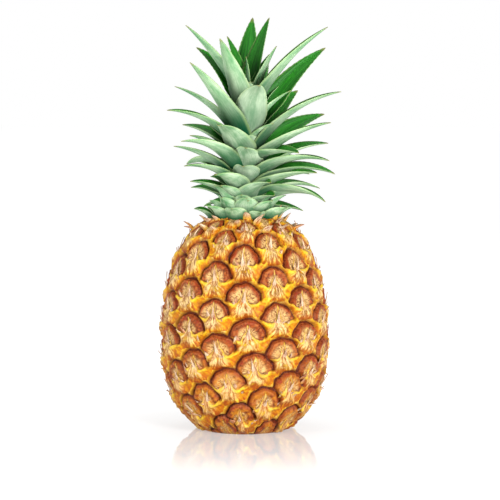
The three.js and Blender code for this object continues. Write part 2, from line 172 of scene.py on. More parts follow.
# %% Material helpers
class Finish:
    """A new material with its shader and short ways to add nodes to it."""

    def __init__(self, name):
        """A material with the shader that a new material starts with."""
        self.material = bpy.data.materials.new(name)
        self.material.use_nodes = True
        self.tree = self.material.node_tree
        self.shader = self.tree.nodes["Principled BSDF"]

    def put(self, value, socket):
        """Links a socket, or sets a plain number or colour."""
        if isinstance(value, bpy.types.NodeSocket):
            self.tree.links.new(value, socket)
        else:
            socket.default_value = value

    def sum(self, operation, a, b=0.0, c=0.0, clamp=False):
        """One Math node: an operation on up to three numbers."""
        node = self.tree.nodes.new("ShaderNodeMath")
        node.operation = operation
        node.use_clamp = clamp
        for value, socket in zip((a, b, c), node.inputs):
            self.put(value, socket)
        return node.outputs[0]

    def times(self, a, b):
        """a times b."""
        return self.sum("MULTIPLY", a, b)

    def plus(self, a, b):
        """a plus b."""
        return self.sum("ADD", a, b)

    def swing(self, noise, amount):
        """Noise made to swing round 0, by half the amount to each side."""
        return self.times(self.sum("SUBTRACT", noise, 0.5), amount)

    def length(self, x, y):
        """The root of x squared plus y squared."""
        return self.sum("SQRT", self.plus(self.times(x, x), self.times(y, y)))

    def rise(self, x, low, high):
        """A smooth rise of x from 0 at low to 1 at high."""
        node = self.tree.nodes.new("ShaderNodeMapRange")
        node.interpolation_type = "SMOOTHSTEP"
        self.put(x, node.inputs["Value"])
        if low < high:
            ends = (low, high, 0.0, 1.0)
        else:
            ends = (high, low, 1.0, 0.0)
        for value, name in zip(ends, ("From Min", "From Max", "To Min", "To Max")):
            node.inputs[name].default_value = value
        return node.outputs[0]

    def mix(self, share, a, b):
        """Colour a where share is 0, colour b where it is 1."""
        node = self.tree.nodes.new("ShaderNodeMix")
        node.data_type = "RGBA"
        self.put(share, node.inputs[0])
        self.put(a, node.inputs[6])
        self.put(b, node.inputs[7])
        return node.outputs[2]

    def over(self, colour, layer, where, strength):
        """A colour with a layer of another over it: where times strength says how much."""
        return self.mix(self.times(where, strength), colour, layer)

    def numbers(self, name):
        """The three numbers that the mesh carries under this name."""
        source = self.tree.nodes.new("ShaderNodeAttribute")
        source.attribute_name = name
        parts = self.tree.nodes.new("ShaderNodeSeparateXYZ")
        self.tree.links.new(source.outputs["Vector"], parts.inputs[0])
        return parts.outputs

    def place(self):
        """The place on the object, in metres, as three numbers and as a vector."""
        source = self.tree.nodes.new("ShaderNodeTexCoord")
        parts = self.tree.nodes.new("ShaderNodeSeparateXYZ")
        self.tree.links.new(source.outputs["Object"], parts.inputs[0])
        return parts.outputs, source.outputs["Object"]

    def vector(self, x, y, z):
        """A vector of three numbers."""
        node = self.tree.nodes.new("ShaderNodeCombineXYZ")
        for value, socket in zip((x, y, z), node.inputs):
            self.put(value, socket)
        return node.outputs[0]

    def noise(self, vector, scale, detail=3.0, roughness=0.55):
        """Cloudy noise from 0 to 1."""
        node = self.tree.nodes.new("ShaderNodeTexNoise")
        self.put(vector, node.inputs["Vector"])
        node.inputs["Scale"].default_value = scale
        node.inputs["Detail"].default_value = detail
        node.inputs["Roughness"].default_value = roughness
        return node.outputs[0]

    def bump(self, height, strength, distance_mm):
        """Small relief on the shader."""
        node = self.tree.nodes.new("ShaderNodeBump")
        node.inputs["Strength"].default_value = strength
        node.inputs["Distance"].default_value = distance_mm * MM
        self.put(height, node.inputs["Height"])
        self.tree.links.new(node.outputs[0], self.shader.inputs["Normal"])


BRIGHT_LIGHT = 0.66


def tint(red, green, blue):
    """A colour as it looks in the photo's bright light, 0 to 255, turned into the share of light that the
    surface sends back: the linear value times BRIGHT_LIGHT."""
    share = np.array([red, green, blue]) / 255
    linear = np.where(share <= 0.04045, share / 12.92, ((share + 0.055) / 1.055) ** 2.4)
    return (*(BRIGHT_LIGHT * linear).tolist(), 1.0)


# %% [markdown]
# ## The fruit's outline and its eyes
# The fruit is a barrel. Its eyes follow a spiral: each one turns 202.5 degrees from the last and takes the
# same area of skin, so every sixteenth eye stands in one column. Near the crown they shrink. These are the
# plain model's own numbers, so the two agree.

# %% Fruit outline
FRUIT_RADIUS = 65
WIDEST_Z = 70
FRUIT_TOP_Z = 172
VIRTUAL_BOTTOM_Z = -8
BARREL_POWER = 2.2
TOP_FULLNESS = 0.37
BOTTOM_FULLNESS = 0.42
SEAT_RADIUS = 15
SEAT_Z = FRUIT_TOP_Z - 1
OUTLINE_STEPS = 400
OUTLINE_CROWDING = 1.6


def barrel_radius(z):
    """The full radius times (1 - share ^ 2.2) to a small power, where share is the way from the widest
    height to the top or the bottom."""
    up = z > WIDEST_Z
    reach = np.where(up, FRUIT_TOP_Z - WIDEST_Z, WIDEST_Z - VIRTUAL_BOTTOM_Z)
    share = np.minimum(1, np.abs(z - WIDEST_Z) / reach)
    return FRUIT_RADIUS * (1 - share**BARREL_POWER) ** np.where(up, TOP_FULLNESS, BOTTOM_FULLNESS)


outline_z = SEAT_Z * (1 - (np.arange(OUTLINE_STEPS + 1) / OUTLINE_STEPS) ** OUTLINE_CROWDING)
outline_r = barrel_radius(outline_z)
on_side = outline_r > SEAT_RADIUS
outline_r = np.concatenate([[0], outline_r[on_side]])
outline_z = np.concatenate([[SEAT_Z], outline_z[on_side]])
outline_step = np.hypot(np.diff(outline_r), np.diff(outline_z))
outline_run = np.concatenate([[0], np.cumsum(outline_step)])
print("outline", round(outline_run[-1]), "mm long")

# %% Eyes along the outline
EYE_AREA = 680
FULL_EYE_RADIUS = 52
SMALLEST_EYE_RADIUS = 8
EYE_TURN = 202.5
EYE_DRIFT = 0.005
DRIFT_FROM = 8
FRONT_EYE = 25
FRONT_EYE_Z = 136

mean_r = (outline_r[1:] + outline_r[:-1]) / 2
is_top = (outline_z[1:] + outline_z[:-1]) / 2 > WIDEST_Z
shrink = np.where(is_top, np.minimum(1, np.maximum(SMALLEST_EYE_RADIUS, mean_r) / FULL_EYE_RADIUS) ** 2, 1)
swept_area = 2 * math.pi * mean_r * outline_step
outline_swept = np.concatenate([[0], np.cumsum(swept_area / (EYE_AREA * shrink))])
front_place = int(np.argmax((outline_r > SEAT_RADIUS) & (outline_z <= FRONT_EYE_Z)))
outline_count = outline_swept - outline_swept[front_place] + FRONT_EYE
eye_count = int(outline_count[-1])
print("eyes", eye_count)


def eye_angle(n):
    """202.5 degrees for each eye, plus a slow twist that grows with the square of the count."""
    away = n - FRONT_EYE
    return EYE_TURN * away + EYE_DRIFT * (away - DRIFT_FROM) ** 2


def outline_at(count):
    """Radius, height and outward direction (sideways, up) along the outline, at an eye count."""
    run = np.interp(count, outline_count, outline_run)
    r = np.interp(run, outline_run, outline_r)
    z = np.interp(run, outline_run, outline_z)
    slope_r = np.gradient(outline_r, outline_run)
    slope_z = np.gradient(outline_z, outline_run)
    out_r = -np.interp(run, outline_run, slope_z)
    out_z = np.interp(run, outline_run, slope_r)
    size = np.hypot(out_r, out_z)
    return r, z, out_r / size, out_z / size


# %% [markdown]
# ## Relief of one eye
# On the real fruit an eye is a round, flat cap in a dark groove. Its lower half is covered by a fleshy yellow
# bract with a horn at each side and a papery spur that climbs over the cap. The relief could be sculpted by
# hand. It is written as a height over the place (p, q) inside the eye instead, in millimetres, p to the right
# and q up, because the material reads the same p and q, and so colour and relief agree.

# %% Place inside an eye
CELL_HALF_TURN = 15
CELL_HALF_COUNT = 8
CELL_HALF_WIDTH = 16
CELL_HALF_HEIGHT = 13.75
EYE_UNLIKE = {"turn": 1.1, "count": 0.3, "size": 0.05, "height": 0.35}


def eye_centre(n):
    """The angle and the count of eye n, each a little off its place in the spiral."""
    return eye_angle(n) + EYE_UNLIKE["turn"] * draw(n, 21), n + EYE_UNLIKE["count"] * draw(n, 22)


def inside_eye(angle, count, n):
    """The place (p, q) inside eye n: degrees and counts from its centre, made millimetres, over the eye's
    own size."""
    centre_angle, centre_count = eye_centre(n)
    off = (angle - centre_angle + 180) % 360 - 180
    size = 1 + EYE_UNLIKE["size"] * draw(n, 23)
    p = off * CELL_HALF_WIDTH / CELL_HALF_TURN / size
    q = (centre_count - count) * CELL_HALF_HEIGHT / CELL_HALF_COUNT / size
    return p, q


# %% Eye relief
CAP_RADIUS = 13.2
RING_HEIGHT = 1.2
TRENCH_DEPTH = 2.9
TRENCH_WIDTH = 1.3
EDGE_LEVEL = -2.6
SPUR_HEIGHT = 14.6
SPUR_HALF_WIDTH = 6.5
HORN_START = 8
HORN_SPAN = 7
HORN_RISE = 3.0
HORN_EXTRA = 1.2
BRACT_HEIGHT = 1.9
HORN_RIDGE = 1.7
LOWER_RIDGE = 1.2


def bract_edge(p):
    """Height of the bract's upper edge: level, plus a narrow spur, which is its height times (1 - |p| over
    its half width) to the power 2.6, plus a horn at each side, which rises with the share of its span."""
    away = np.abs(p)
    spur = SPUR_HEIGHT * np.clip(1 - away / SPUR_HALF_WIDTH, 0, 1) ** 2.6
    horn = HORN_RISE * np.clip((away - HORN_START) / HORN_SPAN, 0, 1) ** 1.2
    return EDGE_LEVEL + spur + horn


def height_above_edge(p, q, n):
    """q above the bract's upper edge. Each eye's horns reach up by their own amount more, from none to twice
    the usual."""
    return q - bract_edge(p) - HORN_EXTRA * (1 + draw(n, 25)) * smooth_step(7, 13, np.abs(p))


def rim_distance(p, q, above_edge):
    """Distance to the upper part of the cap's rim: the circle, as far down as the bract's upper edge."""
    return np.hypot(np.hypot(p, q) - CAP_RADIUS, np.maximum(0, -above_edge))


def bell(distance, width):
    """A rounded hill, 1 high at distance 0: e to the minus square of distance over width."""
    return np.exp(-((distance / width) ** 2))


def ridge(p, q, start, end, width):
    """A rounded ridge, 1 high, along a straight line from start to end: a bell over the distance from it."""
    span = np.subtract(end, start)
    share = np.clip(((p - start[0]) * span[0] + (q - start[1]) * span[1]) / (span @ span), 0, 1)
    return bell(np.hypot(p - start[0] - share * span[0], q - start[1] - share * span[1]), width)


def eye_height(p, q, above_edge):
    """The cap is a ring-shaped swelling round a shallow middle, with faint wrinkles that run outwards. The
    bract is a mound below it with a ridge out to each horn and each lower point."""
    away = np.hypot(p, q)
    cap = 0.3 + RING_HEIGHT * bell(away / CAP_RADIUS - 0.8, 0.22) - 0.6 * bell(away, 4)
    direction = np.arctan2(q, p)
    cap += 0.16 * np.sin(13 * direction + 1.5 * np.sin(3 * direction)) * smooth_step(4, 8, away)
    bract = 0.5 + BRACT_HEIGHT * bell(p, 7) * bell(q + 6.5, 5)
    mirrored = np.abs(p)
    bract += HORN_RIDGE * ridge(mirrored, q, (5, -4.2), (15.5, -0.4), 1.6)
    bract += LOWER_RIDGE * ridge(mirrored, q, (3, -8), (8, -13), 1.9)
    covered = smooth_step(-0.5, 0.4, -above_edge)
    outside = smooth_step(CAP_RADIUS - 0.3, CAP_RADIUS + 0.5, away)
    is_bract = np.maximum(covered, outside)
    return cap * (1 - is_bract) + bract * is_bract


# %% [markdown]
# ## Skin
# One grid wraps the fruit, fine enough to carry the grooves: about one millimetre from point to point. Each
# point finds its nearest eye, a few low waves move it so that no two eyes are alike, and its height above the
# barrel follows from the place inside that eye. One mesh for each eye would leave gaps between them, and a
# single skin has none. Below, the grid turns under the base and lines the stalk's pocket.

# %% Skin grid
COLUMNS = 432
ROWS = 214
WANDER = {"turn": 0.55, "count": 0.28, "cycles": 40, "wavelength": 16}

runs = np.linspace(outline_run[1], outline_run[-1], ROWS)
row_count = np.interp(runs, outline_run, outline_count)
row_r, row_z, row_out_r, row_out_z = outline_at(row_count)
turn = np.arange(COLUMNS) * 360 / COLUMNS - 180
angle_grid, count_grid = np.meshgrid(turn, row_count)
run_grid = np.interp(count_grid, outline_count, outline_run)


def waves(angle, run, seed, cycles, wavelength, number=7):
    """A sum of slanting waves with random phase; each goes round the fruit a whole number of times."""
    rng = np.random.default_rng(seed)
    total = np.zeros_like(angle)
    for _ in range(number):
        around = rng.integers(cycles // 2, cycles) * rng.choice([-1, 1])
        along = 2 * math.pi / (wavelength * rng.uniform(0.7, 1.6))
        total += np.sin(np.radians(angle) * around + run * along + rng.uniform(0, 2 * math.pi))
    return total / math.sqrt(number)


wander_size = (WANDER["cycles"], WANDER["wavelength"])
moved_angle = angle_grid + WANDER["turn"] * waves(angle_grid, run_grid, 1, *wander_size)
moved_count = count_grid + WANDER["count"] * waves(angle_grid, run_grid, 2, *wander_size)
print("skin grid", ROWS, "rows of", COLUMNS, "points")

# %% Nearest eye of each point
EYES_PAST_ENDS = 16

nearest = np.full(angle_grid.shape, np.inf)
eye_p = np.zeros_like(nearest)
eye_q = np.zeros_like(nearest)
eye_n = np.zeros_like(nearest)
to_rim = np.full_like(nearest, np.inf)
for n in range(-EYES_PAST_ENDS, eye_count + EYES_PAST_ENDS + 1):
    p, q = inside_eye(moved_angle, moved_count, n)
    squared = p * p + q * q
    closer = squared < nearest
    nearest[closer] = squared[closer]
    eye_p[closer] = p[closer]
    eye_q[closer] = q[closer]
    eye_n[closer] = n
    to_rim = np.minimum(to_rim, rim_distance(p, q, height_above_edge(p, q, n)))
print("eyes that show on the grid:", len(np.unique(eye_n)))

# %% Skin relief
EDGE_FADE = 5
SMALLEST_RELIEF = 0.35
FINE_RELIEF = 0.22
FINE_WAVES = {"cycles": 90, "wavelength": 7, "number": 12}

eye_above = height_above_edge(eye_p, eye_q, eye_n)
height = eye_height(eye_p, eye_q, eye_above) - TRENCH_DEPTH * bell(to_rim, TRENCH_WIDTH)
height += FINE_RELIEF * waves(angle_grid, run_grid, 3, **FINE_WAVES)
height += EYE_UNLIKE["height"] * draw(eye_n, 24)
eye_size = np.clip(row_r / FULL_EYE_RADIUS, SMALLEST_RELIEF, 1)
top_fade = smooth_step(0, EDGE_FADE, runs - runs[0])
low_fade = smooth_step(0, EDGE_FADE, runs[-1] - runs)
height *= (eye_size * top_fade * low_fade)[:, None]
skin_r = row_r[:, None] + height * row_out_r[:, None]
skin_z = np.maximum(0, row_z[:, None] + height * row_out_z[:, None])
print("relief from", round(float(height.min()), 2), "to", round(float(height.max()), 2), "mm")

# %% Skin mesh
POCKET_RADIUS = 12.2
POCKET_DEPTH = 14.4
SEAT_MIDDLE = [(5, SEAT_Z)]
# From the last row the skin runs in under the base, up the pocket's wall and in over its top.
UNDER = [(row_r[-1] - 4, 0), (POCKET_RADIUS + 6, 0), (POCKET_RADIUS, 0), (POCKET_RADIUS, 5)]
UNDER += [(POCKET_RADIUS, POCKET_DEPTH), (4, POCKET_DEPTH)]


def plain_rows(places):
    """Radius and height of one even row of the grid for each (radius, height)."""
    rows = np.repeat(np.array(places, dtype=float)[:, :, None], COLUMNS, axis=2)
    return rows[:, 0], rows[:, 1]


top_r, top_z = plain_rows(SEAT_MIDDLE)
under_r, under_z = plain_rows(UNDER)
all_r = np.concatenate([top_r, skin_r, under_r])
all_z = np.concatenate([top_z, skin_z, under_z])
all_turn = np.radians(turn)[None, :]
skin_rings = np.stack([all_r * np.sin(all_turn), -all_r * np.cos(all_turn), all_z], axis=-1)
skin_points, skin_quads, skin_fans = capped_rings(skin_rings, (0, 0, SEAT_Z), (0, 0, POCKET_DEPTH))
print("skin rows with seat and pocket:", len(skin_rings))

# %% [markdown]
# ## Skin material
# A cap has a rust-brown rim and a cream middle with fibres that run outwards. A bract is yellow with a cream,
# papery middle, whose fibres spread like a fan. Lower eyes are more orange. Painted shade makes the grooves
# dark maroon and the skin beside them browner, and painted highlights and shade follow the relief.
# It could be painted by hand, eye by eye, but sums on p and q reach all the eyes, and from all sides.

# %% Skin zones
def cap_fibres(f, p, q, who, away):
    """Fibres that run out from the middle: noise that hardly changes along the radius."""
    direction = f.sum("ARCTAN2", q, p)
    return f.noise(f.vector(f.times(direction, 2.6), f.times(away, 0.12), who), 3.2, 4, 0.7)


def bract_fibres(f, p, q, who):
    """Fibres that spread like a fan from a point 3 mm above the middle, down and out to the horns."""
    drop = f.sum("SUBTRACT", q, 3.0)
    reach = f.length(p, drop)
    across = f.times(f.sum("DIVIDE", p, reach), 4.6)
    down = f.times(f.sum("DIVIDE", drop, reach), 4.6)
    slice_of_noise = f.sum("MULTIPLY_ADD", who, 7.3, f.times(reach, 0.1))
    return f.noise(f.vector(across, down, slice_of_noise), 1.6, 4, 0.7)


def skin_zones(f):
    """The zones of the relief, from p, q and the eye's number on each face corner. is_cap is 1 on the cap,
    low is 1 near the base, rim_away is the distance to the nearest rim and luck is each eye's own number. The
    wobble moves all borders a little."""
    p, q, who = f.numbers("eye")
    rim_away, relief, _ = f.numbers("rim")
    over_edge, luck, _ = f.numbers("bract")
    (_, _, z), here = f.place()
    local = f.vector(p, q, f.times(who, 3.7))
    wobble = f.swing(f.noise(local, 0.22, 3), 1.0)
    p = f.plus(p, f.times(wobble, 2.0))
    q = f.plus(q, f.swing(f.noise(local, 0.3, 3), 1.4))
    away = f.length(p, q)
    above_edge = f.plus(over_edge, f.times(wobble, 2.4))
    is_inside = f.rise(away, CAP_RADIUS + 0.3, CAP_RADIUS - 0.3)
    return SimpleNamespace(
        p=p, q=q, here=here, local=local, rim_away=rim_away, relief=relief, luck=luck,
        wobble=wobble, away=away, above_edge=above_edge,
        is_cap=f.times(f.rise(above_edge, -0.6, 0.6), is_inside),
        low=f.rise(f.plus(z, f.times(f.noise(here, 18, 2), 0.05)), 0.12, 0.04),
        fine=f.noise(here, 900, 4, 0.6),
        spokes=cap_fibres(f, p, q, who, away),
        streaks=bract_fibres(f, p, q, who),
    )


# %% Cap and bract colours
def cap_colour(f, zone):
    """Rust-brown rim and cream middle. Painted highlights lighten the high ring and the rim's edge at the
    groove, and a brown painted shadow falls where the bract's edge casts it on the cap.
    """
    rim = f.mix(f.rise(zone.spokes, 0.34, 0.66), tint(84, 26, 6), tint(184, 86, 28))
    rim = f.mix(f.rise(f.noise(zone.local, 0.16, 2), 0.52, 0.66), rim, tint(158, 56, 22))
    cream = f.mix(f.rise(zone.spokes, 0.37, 0.56), tint(118, 48, 12), tint(242, 198, 126))
    ring_place = f.plus(f.plus(zone.away, f.swing(zone.spokes, 6.0)), f.times(zone.luck, -1.4))
    cap = f.mix(f.rise(ring_place, 6.4, 9.4), cream, rim)
    # Painted highlight: the high parts of the cap's relief are lighter.
    cap = f.over(cap, tint(232, 146, 72), f.rise(zone.relief, 1.1, 1.7), 0.35)
    # Painted highlight along the cap's rim, just inside the groove.
    lip_highlight = f.times(f.rise(zone.away, 11.3, 12.2), f.rise(zone.spokes, 0.35, 0.55))
    cap = f.over(cap, tint(238, 168, 106), lip_highlight, 0.55)
    # Painted shadow: the cap is darker just above the bract's edge, which overlaps it.
    cap = f.over(cap, tint(88, 30, 8), f.rise(zone.above_edge, 1.8, 0.1), 0.75)
    return f.over(cap, tint(220, 138, 34), zone.low, f.rise(zone.wobble, 0.1, -0.15))


def bract_colour(f, zone):
    """Yellow flesh, orange near the base, painted orange shade in the dips, painted highlights on the ridges
    and along the upper edge, a papery middle and brown painted shade low on the bract."""
    yellow = f.mix(f.rise(zone.streaks, 0.35, 0.66), tint(204, 114, 0), tint(250, 196, 0))
    orange = f.mix(f.rise(zone.streaks, 0.35, 0.66), tint(190, 84, 12), tint(232, 154, 34))
    flesh = f.over(yellow, orange, zone.low, 0.7)
    # Painted shade: the low parts of the relief turn orange-brown.
    flesh = f.over(flesh, tint(200, 104, 4), f.rise(zone.relief, 1.5, 0.2), 0.6)
    # Painted highlight: the high ridges of the relief turn bright yellow.
    flesh = f.over(flesh, tint(255, 222, 60), f.rise(zone.relief, 1.5, 2.5), 0.7)
    flesh = f.over(flesh, tint(190, 84, 4), f.rise(f.noise(zone.local, 0.3, 3), 0.5, 0.65), 0.5)
    papery = f.mix(f.rise(zone.streaks, 0.42, 0.58), tint(112, 42, 8), tint(253, 214, 150))
    papery = f.over(papery, tint(232, 150, 60), zone.low, 0.35)
    pale = f.times(f.rise(f.sum("ABSOLUTE", zone.p), 9.4, 3.6), f.rise(zone.q, -13.0, -8.0))
    pale = f.times(pale, f.rise(f.plus(zone.streaks, f.times(zone.wobble, 0.5)), 0.27, 0.5))
    bract = f.over(flesh, papery, pale, 0.92)
    # Painted highlight: a bright yellow band just under the bract's upper edge.
    bract = f.over(bract, tint(255, 214, 56), f.rise(zone.above_edge, -3.4, -1.0), 0.55)
    # Painted shade: orange-brown low on the bract, above the next cap's arc, between the pale streaks.
    low_bract_shade = f.times(f.rise(zone.q, -6.0, -12.0), f.rise(zone.streaks, 0.6, 0.42))
    return f.over(bract, tint(158, 66, 8), low_bract_shade, 0.75)


# %% Skin material
def make_skin_finish():
    """Cap over bract. Close to a groove painted shade makes the skin browner, and in the groove painted shade
    makes it maroon. Then come the dark spot in a cap's middle, blotches and freckles."""
    f = Finish("fruit_skin")
    zone = skin_zones(f)
    colour = f.mix(zone.is_cap, bract_colour(f, zone), cap_colour(f, zone))
    # Painted shade: the skin browns within about 3 mm of a groove.
    near = f.rise(f.plus(zone.rim_away, f.times(zone.wobble, 2.0)), 3.2, 0.7)
    colour = f.over(colour, tint(138, 42, 0), near, 0.72)
    # Painted shade: the groove itself turns dark maroon.
    maroon = f.mix(f.rise(zone.fine, 0.4, 0.65), tint(58, 12, 2), tint(112, 32, 8))
    dark = f.rise(f.plus(zone.rim_away, f.swing(zone.fine, 0.7)), 1.15, 0.45)
    colour = f.over(colour, maroon, dark, 0.95)
    spot = f.times(f.rise(zone.away, 4.0, 1.6), f.rise(f.noise(zone.local, 0.8, 2), 0.42, 0.55))
    colour = f.over(colour, tint(84, 44, 30), f.times(spot, zone.is_cap), 0.8)
    blotches = f.rise(f.noise(zone.here, 260, 3, 0.6), 0.5, 0.66)
    colour = f.over(colour, tint(128, 52, 8), blotches, 0.3)
    freckles = f.rise(f.noise(zone.here, 1500, 2, 0.5), 0.6, 0.7)
    colour = f.over(colour, tint(140, 60, 16), freckles, 0.5)
    f.put(colour, f.shader.inputs["Base Color"])
    f.put(f.sum("MULTIPLY_ADD", zone.fine, 0.3, 0.34), f.shader.inputs["Roughness"])
    f.shader.inputs["Specular IOR Level"].default_value = 0.16
    fibre = f.plus(f.times(zone.spokes, zone.is_cap), f.times(zone.streaks, 0.8))
    f.bump(f.sum("MULTIPLY_ADD", zone.fine, 0.4, fibre), 0.7, 0.7)
    return f.material


skin_finish = make_skin_finish()
skin = add_piece("fruit_skin", skin_points, skin_quads, skin_finish, ("fruit",), skin_fans)

# %% Numbers for the skin material
FAR_FROM_RIM = 9.0


def mesh_numbers(items, name):
    """One whole number of each of a mesh's corners or faces, as an array."""
    numbers = np.zeros(len(items), dtype=np.int32)
    items.foreach_get(name, numbers)
    return numbers


def store_eye_places(piece):
    """For each face, all corners measure their p and q from one eye: the one that owns the face's first
    corner. So the pattern stays sharp where two eyes meet."""
    mesh = piece.data
    corner_point = mesh_numbers(mesh.loops, "vertex_index")
    grid_point = np.clip(corner_point - COLUMNS, 0, eye_n.size - 1)
    first_corner = grid_point[mesh_numbers(mesh.polygons, "loop_start")]
    owner = np.repeat(eye_n.reshape(-1)[first_corner], mesh_numbers(mesh.polygons, "loop_total"))
    p, q = inside_eye(moved_angle.reshape(-1)[grid_point], moved_count.reshape(-1)[grid_point], owner)
    above = height_above_edge(p, q, owner)
    luck = draw(owner, 26)
    for name, numbers in (("eye", (p, q, owner)), ("bract", (above, luck, 0 * luck))):
        attribute = mesh.attributes.new(name, "FLOAT_VECTOR", "CORNER")
        attribute.data.foreach_set("vector", np.stack(numbers, axis=1).astype(np.float32).reshape(-1))


def store_rim_distance(piece):
    """The distance to the nearest rim changes evenly over the skin, so each point carries it, with its
    relief. The points outside the grid of eyes count as far from any rim."""
    numbers = np.zeros((len(piece.data.vertices), 3))
    numbers[:, 0] = FAR_FROM_RIM
    on_grid = slice(COLUMNS, COLUMNS + to_rim.size)
    numbers[on_grid, 0] = to_rim.reshape(-1)
    numbers[on_grid, 1] = height.reshape(-1)
    add_point_numbers(piece, "rim", numbers)


store_eye_places(skin)
store_rim_distance(skin)
print("nearest rim at most", round(float(to_rim.max()), 1), "mm away")

# %% [markdown]
# ## Blades
# Leaves, dry bracts and papery tips are all thin blades: a middle line, a width, a channel across it and a
# small thickness. A flat sheet with a Solidify modifier would be as thick at its edges as in its middle, so
# both skins are worked out here. All the blades of one kind are made at once and share one mesh.

# %% Blade builder
ACROSS = 9


def unit(v):
    """Each vector shortened to length one."""
    return v / np.maximum(np.linalg.norm(v, axis=-1, keepdims=True), 1e-9)


def blade_arrays(line, side, face, half, channel, thick, edge, tooth=0.0):
    """Points and faces of many closed blades. Across each place of the middle line, w goes from -1 to 1: the
    point is the line plus w half widths sideways plus channel x w squared along the face direction. The inner
    and outer skins lie half a thickness to each side: edge at the edges, and thick more in the middle. Every
    second point of an edge stands out by tooth. The result also gives w, the share along, and the side (1
    inner, 0 outer) of each point."""
    blades, stations = half.shape
    w = np.linspace(-1, 1, ACROSS)
    reach = w[None, None, :] * half[:, :, None]
    at_edge = (np.abs(w) > 0.99) * np.sign(w)
    reach = reach + at_edge * (np.arange(stations) % 2)[None, :, None] * np.asarray(tooth).reshape(-1, 1, 1)
    rise = channel[:, :, None] * w**2
    middle = line[:, :, None] + side[:, :, None] * reach[..., None] + face[:, :, None] * rise[..., None]
    body = (thick[:, :, None] * (1 - w**2) + edge) / 2
    inner = middle + face[:, :, None] * body[..., None]
    outer = middle - face[:, :, None] * body[..., None]
    ring = np.concatenate([inner, outer[:, :, ::-1]], axis=2)
    around = 2 * ACROSS
    tube = ring_grid_faces(stations, around)
    j = np.arange(ACROSS - 1)
    root = np.stack([j, around - 1 - j, around - 2 - j, j + 1], axis=1)
    tip = (stations - 1) * around + root[:, ::-1]
    one = np.concatenate([tube, root, tip])
    per_blade = stations * around
    faces = (one[None] + (np.arange(blades) * per_blade)[:, None, None]).reshape(-1, 4)
    w_ring = np.concatenate([w, w[::-1]])
    is_inner = np.concatenate([np.ones(ACROSS), np.zeros(ACROSS)])
    share = np.linspace(0, 1, stations)
    numbers = np.zeros((blades, stations, around, 3))
    numbers[..., 0] = w_ring
    numbers[..., 1] = share[None, :, None]
    numbers[..., 2] = is_inner
    return ring.reshape(-1, 3), faces, numbers.reshape(-1, 3)


def climbing_blades(angle, root_radius, root_z, length, slope):
    """Middle lines of blades that lead away from the axis: each step adds the cosine of its slope outwards
    and the sine upwards. Beside each line come its direction sideways and the direction that its face
    looks."""
    step = length[:, None] / (slope.shape[1] - 1)
    start = np.zeros((len(angle), 1))
    run_out = np.concatenate([start, np.cumsum(np.cos(slope[:, 1:]) * step, axis=1)], axis=1)
    run_up = np.concatenate([start, np.cumsum(np.sin(slope[:, 1:]) * step, axis=1)], axis=1)
    outward = np.stack([np.sin(angle), -np.cos(angle), 0 * angle], axis=1)[:, None]
    sideways = np.stack([np.cos(angle), np.sin(angle), 0 * angle], axis=1)[:, None]
    up = np.array([0.0, 0.0, 1.0])
    line = outward * (root_radius[:, None] + run_out)[..., None] + up * (root_z[:, None] + run_up)[..., None]
    face = -outward * np.sin(slope)[..., None] + up * np.cos(slope)[..., None]
    return line, sideways, face


def turned(side, face, twist):
    """The directions side and face, turned about the blade's line by the angle twist."""
    cos_twist = np.cos(twist)[..., None]
    sin_twist = np.sin(twist)[..., None]
    return side * cos_twist + face * sin_twist, face * cos_twist - side * sin_twist


def add_blades(name, arrays, which, material, replaces=()):
    """One piece of many blades. which is one row of three numbers for each blade."""
    points, faces, numbers = arrays
    piece = add_piece(name, points, faces, material, replaces)
    add_point_numbers(piece, "blade", numbers)
    which = np.asarray(which, dtype=float)
    add_point_numbers(piece, "which", np.repeat(which, len(points) // len(which), axis=0))


# %% [markdown]
# ## Crown leaves
# The leaves leave the stem at the golden angle, steep at first, and then droop outwards. Lower leaves are
# short, middle ones long, and the innermost stand upright. Leaves that the photo shows clearly have their own
# turn, length and rise in a table, which is the plain model's own.

# %% Leaf table
LEAVES = 74
LEAF_TURN = 137.508
FRONT_LEAF = 8
STEM_BOTTOM_Z = SEAT_Z
STEM_HEIGHT = 98
STEM_RADIUS = (13, 4)
CROWN_LEAN = 2
DROOP_POWER = 0.9
LOWEST_ROOT = 2.5
TOPMOST_ROOT = 5
ROOT_POWER = 1.3
ROOT_SINK = 0.75
LEAF_LENGTH = ((0, 34), (0.08, 46), (0.25, 60), (0.5, 74), (0.8, 86), (0.88, 78), (0.93, 46), (1, 32))
LEAF_WIDTH = ((0, 18), (0.12, 21), (0.4, 25), (0.85, 25), (1, 18))
LEAF_RISE = ((0, 34), (0.08, 46), (0.25, 60), (0.5, 66), (0.75, 74), (1, 90))
LEAF_DROOP = ((0, 44), (0.08, 52), (0.25, 58), (0.5, 60), (0.75, 50), (1, 10))
LEAF_UNLIKE = {"turn": 4, "length": 0.08, "rise": 4, "width": 0.06, "droop": 0.25}
FACING_UNLIKE = 14
FACING_BY_SIDE = 9
